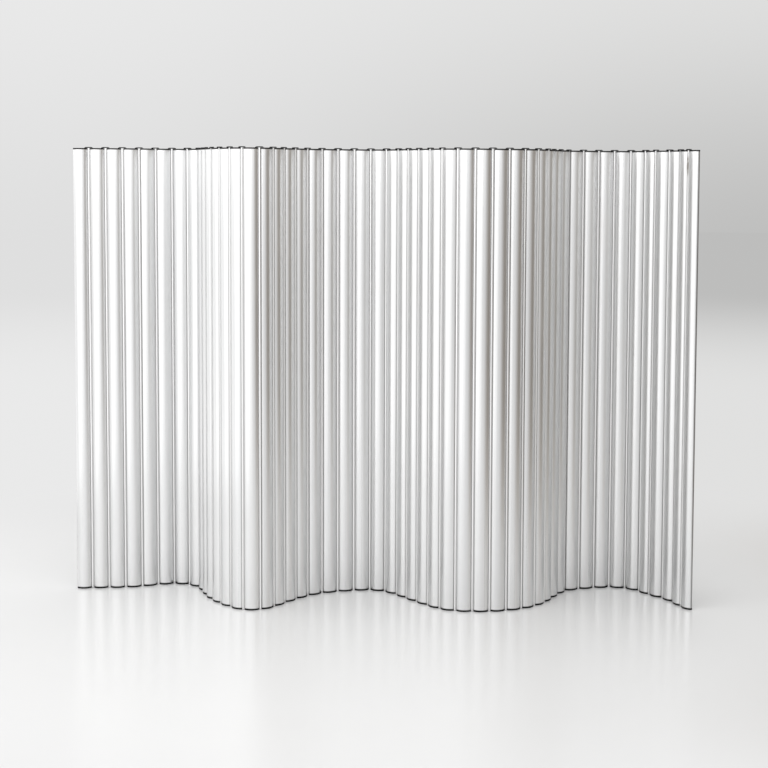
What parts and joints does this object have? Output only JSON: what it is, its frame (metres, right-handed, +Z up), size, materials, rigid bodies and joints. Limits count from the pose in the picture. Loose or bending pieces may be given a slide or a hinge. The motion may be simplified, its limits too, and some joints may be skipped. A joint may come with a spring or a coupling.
{
  "type": "folding screen",
  "caption": "Free-standing folding screen of upright oval aluminium slats with black end caps, joined edge to edge by full-height hinges so that it stands in curves or rolls up.",
  "frame": {"origin": "middle of the footprint of the screen as it stands, on the floor", "axes": "+X along the screen from its first slat to its last, +Y through its depth to the back, +Z up"},
  "size_m": [2.2646, 0.3802, 1.65],
  "materials": {
    "anodised_aluminium": "satin anodised",
    "hinge_aluminium": "bright satin anodised",
    "black_plastic": "moulded, fine satin"
  },
  "bodies": {
    "slat_01": {"slat_01": "anodised_aluminium"},
    "slat_02": {"slat_02": "anodised_aluminium"},
    "slat_03": {"slat_03": "anodised_aluminium"},
    "slat_04": {"slat_04": "anodised_aluminium"},
    "slat_05": {"slat_05": "anodised_aluminium"},
    "slat_06": {"slat_06": "anodised_aluminium"},
    "slat_07": {"slat_07": "anodised_aluminium"},
    "slat_08": {"slat_08": "anodised_aluminium"},
    "slat_09": {"slat_09": "anodised_aluminium"},
    "slat_10": {"slat_10": "anodised_aluminium"},
    "slat_11": {"slat_11": "anodised_aluminium"},
    "slat_12": {"slat_12": "anodised_aluminium"},
    "slat_13": {"slat_13": "anodised_aluminium"},
    "slat_14": {"slat_14": "anodised_aluminium"},
    "slat_15": {"slat_15": "anodised_aluminium"},
    "slat_16": {"slat_16": "anodised_aluminium"},
    "slat_17": {"slat_17": "anodised_aluminium"},
    "slat_18": {"slat_18": "anodised_aluminium"},
    "slat_19": {"slat_19": "anodised_aluminium"},
    "slat_20": {"slat_20": "anodised_aluminium"},
    "slat_21": {"slat_21": "anodised_aluminium"},
    "slat_22": {"slat_22": "anodised_aluminium"},
    "slat_23": {"slat_23": "anodised_aluminium"},
    "slat_24": {"slat_24": "anodised_aluminium"},
    "slat_25": {"slat_25_tube": "anodised_aluminium", "slat_25_bottom_cap": "black_plastic", "slat_25_top_cap": "black_plastic", "slat_25_hinge_socket": "hinge_aluminium", "slat_25_hinge_bead": "hinge_aluminium"},
    "slat_26": {"slat_26": "anodised_aluminium"},
    "slat_27": {"slat_27": "anodised_aluminium"},
    "slat_28": {"slat_28": "anodised_aluminium"},
    "slat_29": {"slat_29": "anodised_aluminium"},
    "slat_30": {"slat_30": "anodised_aluminium"},
    "slat_31": {"slat_31": "anodised_aluminium"},
    "slat_32": {"slat_32": "anodised_aluminium"},
    "slat_33": {"slat_33": "anodised_aluminium"},
    "slat_34": {"slat_34": "anodised_aluminium"},
    "slat_35": {"slat_35": "anodised_aluminium"},
    "slat_36": {"slat_36": "anodised_aluminium"},
    "slat_37": {"slat_37": "anodised_aluminium"},
    "slat_38": {"slat_38": "anodised_aluminium"},
    "slat_39": {"slat_39": "anodised_aluminium"},
    "slat_40": {"slat_40": "anodised_aluminium"},
    "slat_41": {"slat_41": "anodised_aluminium"},
    "slat_42": {"slat_42": "anodised_aluminium"},
    "slat_43": {"slat_43": "anodised_aluminium"},
    "slat_44": {"slat_44": "anodised_aluminium"},
    "slat_45": {"slat_45": "anodised_aluminium"},
    "slat_46": {"slat_46": "anodised_aluminium"},
    "slat_47": {"slat_47": "anodised_aluminium"},
    "slat_48": {"slat_48": "anodised_aluminium"},
    "slat_49": {"slat_49": "anodised_aluminium"}
  },
  "joints": [
    {"name": "hinge_01", "type": "hinge", "parent": "slat_02", "child": "slat_01", "pos_m": [-1.07585, 0.1113, 0.825], "axis": [0, 0, 1], "range_deg": [-45, 45]},
    {"name": "hinge_02", "type": "hinge", "parent": "slat_03", "child": "slat_02", "pos_m": [-1.01488, 0.11663, 0.825], "axis": [0, 0, -1], "range_deg": [-45, 45]},
    {"name": "hinge_03", "type": "hinge", "parent": "slat_04", "child": "slat_03", "pos_m": [-0.95392, 0.12197, 0.825], "axis": [0, 0, 1], "range_deg": [-35, 55]},
    {"name": "hinge_04", "type": "hinge", "parent": "slat_05", "child": "slat_04", "pos_m": [-0.8948, 0.13781, 0.825], "axis": [0, 0, -1], "range_deg": [-55, 35]},
    {"name": "hinge_05", "type": "hinge", "parent": "slat_06", "child": "slat_05", "pos_m": [-0.83934, 0.16367, 0.825], "axis": [0, 0, 1], "range_deg": [-53, 37]},
    {"name": "hinge_06", "type": "hinge", "parent": "slat_07", "child": "slat_06", "pos_m": [-0.78081, 0.18156, 0.825], "axis": [0, 0, -1], "range_deg": [-17, 73]},
    {"name": "hinge_07", "type": "hinge", "parent": "slat_08", "child": "slat_07", "pos_m": [-0.72074, 0.16989, 0.825], "axis": [0, 0, 1], "range_deg": [-73, 17]},
    {"name": "hinge_08", "type": "hinge", "parent": "slat_09", "child": "slat_08", "pos_m": [-0.67317, 0.13137, 0.825], "axis": [0, 0, -1], "range_deg": [-17, 73]},
    {"name": "hinge_09", "type": "hinge", "parent": "slat_10", "child": "slat_09", "pos_m": [-0.64926, 0.07504, 0.825], "axis": [0, 0, 1], "range_deg": [-49, 41]},
    {"name": "hinge_10", "type": "hinge", "parent": "slat_11", "child": "slat_10", "pos_m": [-0.62934, 0.01717, 0.825], "axis": [0, 0, -1], "range_deg": [-53, 37]},
    {"name": "hinge_11", "type": "hinge", "parent": "slat_12", "child": "slat_11", "pos_m": [-0.60155, -0.03736, 0.825], "axis": [0, 0, 1], "range_deg": [-37, 53]},
    {"name": "hinge_12", "type": "hinge", "parent": "slat_13", "child": "slat_12", "pos_m": [-0.56645, -0.08749, 0.825], "axis": [0, 0, -1], "range_deg": [-53, 37]},
    {"name": "hinge_13", "type": "hinge", "parent": "slat_14", "child": "slat_13", "pos_m": [-0.52471, -0.13225, 0.825], "axis": [0, 0, 1], "range_deg": [-37, 53]},
    {"name": "hinge_14", "type": "hinge", "parent": "slat_15", "child": "slat_14", "pos_m": [-0.47715, -0.17076, 0.825], "axis": [0, 0, -1], "range_deg": [-87, 3]},
    {"name": "hinge_15", "type": "hinge", "parent": "slat_16", "child": "slat_15", "pos_m": [-0.41603, -0.16756, 0.825], "axis": [0, 0, 1], "range_deg": [-3, 87]},
    {"name": "hinge_16", "type": "hinge", "parent": "slat_17", "child": "slat_16", "pos_m": [-0.37276, -0.12429, 0.825], "axis": [0, 0, -1], "range_deg": [-57, 33]},
    {"name": "hinge_17", "type": "hinge", "parent": "slat_18", "child": "slat_17", "pos_m": [-0.33943, -0.07296, 0.825], "axis": [0, 0, 1], "range_deg": [-49, 41]},
    {"name": "hinge_18", "type": "hinge", "parent": "slat_19", "child": "slat_18", "pos_m": [-0.3026, -0.02408, 0.825], "axis": [0, 0, -1], "range_deg": [-41, 49]},
    {"name": "hinge_19", "type": "hinge", "parent": "slat_20", "child": "slat_19", "pos_m": [-0.26244, 0.0221, 0.825], "axis": [0, 0, 1], "range_deg": [-59, 31]},
    {"name": "hinge_20", "type": "hinge", "parent": "slat_21", "child": "slat_20", "pos_m": [-0.21231, 0.05721, 0.825], "axis": [0, 0, -1], "range_deg": [-31, 59]},
    {"name": "hinge_21", "type": "hinge", "parent": "slat_22", "child": "slat_21", "pos_m": [-0.15518, 0.07914, 0.825], "axis": [0, 0, 1], "range_deg": [-51, 39]},
    {"name": "hinge_22", "type": "hinge", "parent": "slat_23", "child": "slat_22", "pos_m": [-0.09606, 0.09498, 0.825], "axis": [0, 0, -1], "range_deg": [-39, 51]},
    {"name": "hinge_23", "type": "hinge", "parent": "slat_24", "child": "slat_23", "pos_m": [-0.03562, 0.10455, 0.825], "axis": [0, 0, 1], "range_deg": [-71, 19]},
    {"name": "hinge_24", "type": "hinge", "parent": "slat_25", "child": "slat_24", "pos_m": [0.02291, 0.08666, 0.825], "axis": [0, 0, -1], "range_deg": [-19, 71]},
    {"name": "hinge_25", "type": "hinge", "parent": "slat_25", "child": "slat_26", "pos_m": [0.06767, 0.04492, 0.825], "axis": [0, 0, 1], "range_deg": [-35, 55]},
    {"name": "hinge_26", "type": "hinge", "parent": "slat_26", "child": "slat_27", "pos_m": [0.1045, -0.00395, 0.825], "axis": [0, 0, -1], "range_deg": [-43, 47]},
    {"name": "hinge_27", "type": "hinge", "parent": "slat_27", "child": "slat_28", "pos_m": [0.14301, -0.05151, 0.825], "axis": [0, 0, 1], "range_deg": [-47, 43]},
    {"name": "hinge_28", "type": "hinge", "parent": "slat_28", "child": "slat_29", "pos_m": [0.18316, -0.0977, 0.825], "axis": [0, 0, -1], "range_deg": [-43, 47]},
    {"name": "hinge_29", "type": "hinge", "parent": "slat_29", "child": "slat_30", "pos_m": [0.2249, -0.14246, 0.825], "axis": [0, 0, 1], "range_deg": [-65, 25]},
    {"name": "hinge_30", "type": "hinge", "parent": "slat_30", "child": "slat_31", "pos_m": [0.27943, -0.17025, 0.825], "axis": [0, 0, -1], "range_deg": [-25, 65]},
    {"name": "hinge_31", "type": "hinge", "parent": "slat_31", "child": "slat_32", "pos_m": [0.34018, -0.17771, 0.825], "axis": [0, 0, 1], "range_deg": [-55, 35]},
    {"name": "hinge_32", "type": "hinge", "parent": "slat_32", "child": "slat_33", "pos_m": [0.40129, -0.1745, 0.825], "axis": [0, 0, -1], "range_deg": [-35, 55]},
    {"name": "hinge_33", "type": "hinge", "parent": "slat_33", "child": "slat_34", "pos_m": [0.46092, -0.16073, 0.825], "axis": [0, 0, 1], "range_deg": [-55, 35]},
    {"name": "hinge_34", "type": "hinge", "parent": "slat_34", "child": "slat_35", "pos_m": [0.51726, -0.13682, 0.825], "axis": [0, 0, -1], "range_deg": [-31, 59]},
    {"name": "hinge_35", "type": "hinge", "parent": "slat_35", "child": "slat_36", "pos_m": [0.56614, -0.09999, 0.825], "axis": [0, 0, 1], "range_deg": [-59, 31]},
    {"name": "hinge_36", "type": "hinge", "parent": "slat_36", "child": "slat_37", "pos_m": [0.60465, -0.05243, 0.825], "axis": [0, 0, -1], "range_deg": [-31, 59]},
    {"name": "hinge_37", "type": "hinge", "parent": "slat_37", "child": "slat_38", "pos_m": [0.63051, 0.00304, 0.825], "axis": [0, 0, 1], "range_deg": [-41, 49]},
    {"name": "hinge_38", "type": "hinge", "parent": "slat_38", "child": "slat_39", "pos_m": [0.66018, 0.05656, 0.825], "axis": [0, 0, -1], "range_deg": [-49, 41]},
    {"name": "hinge_39", "type": "hinge", "parent": "slat_39", "child": "slat_40", "pos_m": [0.69352, 0.10789, 0.825], "axis": [0, 0, 1], "range_deg": [-11, 79]},
    {"name": "hinge_40", "type": "hinge", "parent": "slat_40", "child": "slat_41", "pos_m": [0.74985, 0.1318, 0.825], "axis": [0, 0, -1], "range_deg": [-51, 39]},
    {"name": "hinge_41", "type": "hinge", "parent": "slat_41", "child": "slat_42", "pos_m": [0.80838, 0.14969, 0.825], "axis": [0, 0, 1], "range_deg": [-39, 51]},
    {"name": "hinge_42", "type": "hinge", "parent": "slat_42", "child": "slat_43", "pos_m": [0.86845, 0.16137, 0.825], "axis": [0, 0, -1], "range_deg": [-69, 21]},
    {"name": "hinge_43", "type": "hinge", "parent": "slat_43", "child": "slat_44", "pos_m": [0.92808, 0.14761, 0.825], "axis": [0, 0, 1], "range_deg": [-21, 69]},
    {"name": "hinge_44", "type": "hinge", "parent": "slat_44", "child": "slat_45", "pos_m": [0.97696, 0.11077, 0.825], "axis": [0, 0, -1], "range_deg": [-69, 21]},
    {"name": "hinge_45", "type": "hinge", "parent": "slat_45", "child": "slat_46", "pos_m": [1.00663, 0.05725, 0.825], "axis": [0, 0, 1], "range_deg": [-61, 29]},
    {"name": "hinge_46", "type": "hinge", "parent": "slat_46", "child": "slat_47", "pos_m": [1.04991, 0.01397, 0.825], "axis": [0, 0, -1], "range_deg": [-59, 31]},
    {"name": "hinge_47", "type": "hinge", "parent": "slat_47", "child": "slat_48", "pos_m": [1.08143, -0.03849, 0.825], "axis": [0, 0, 1], "range_deg": [-31, 59]},
    {"name": "hinge_48", "type": "hinge", "parent": "slat_48", "child": "slat_49", "pos_m": [1.09932, -0.09701, 0.825], "axis": [0, 0, -1], "range_deg": [-31, 59]}
  ]
}
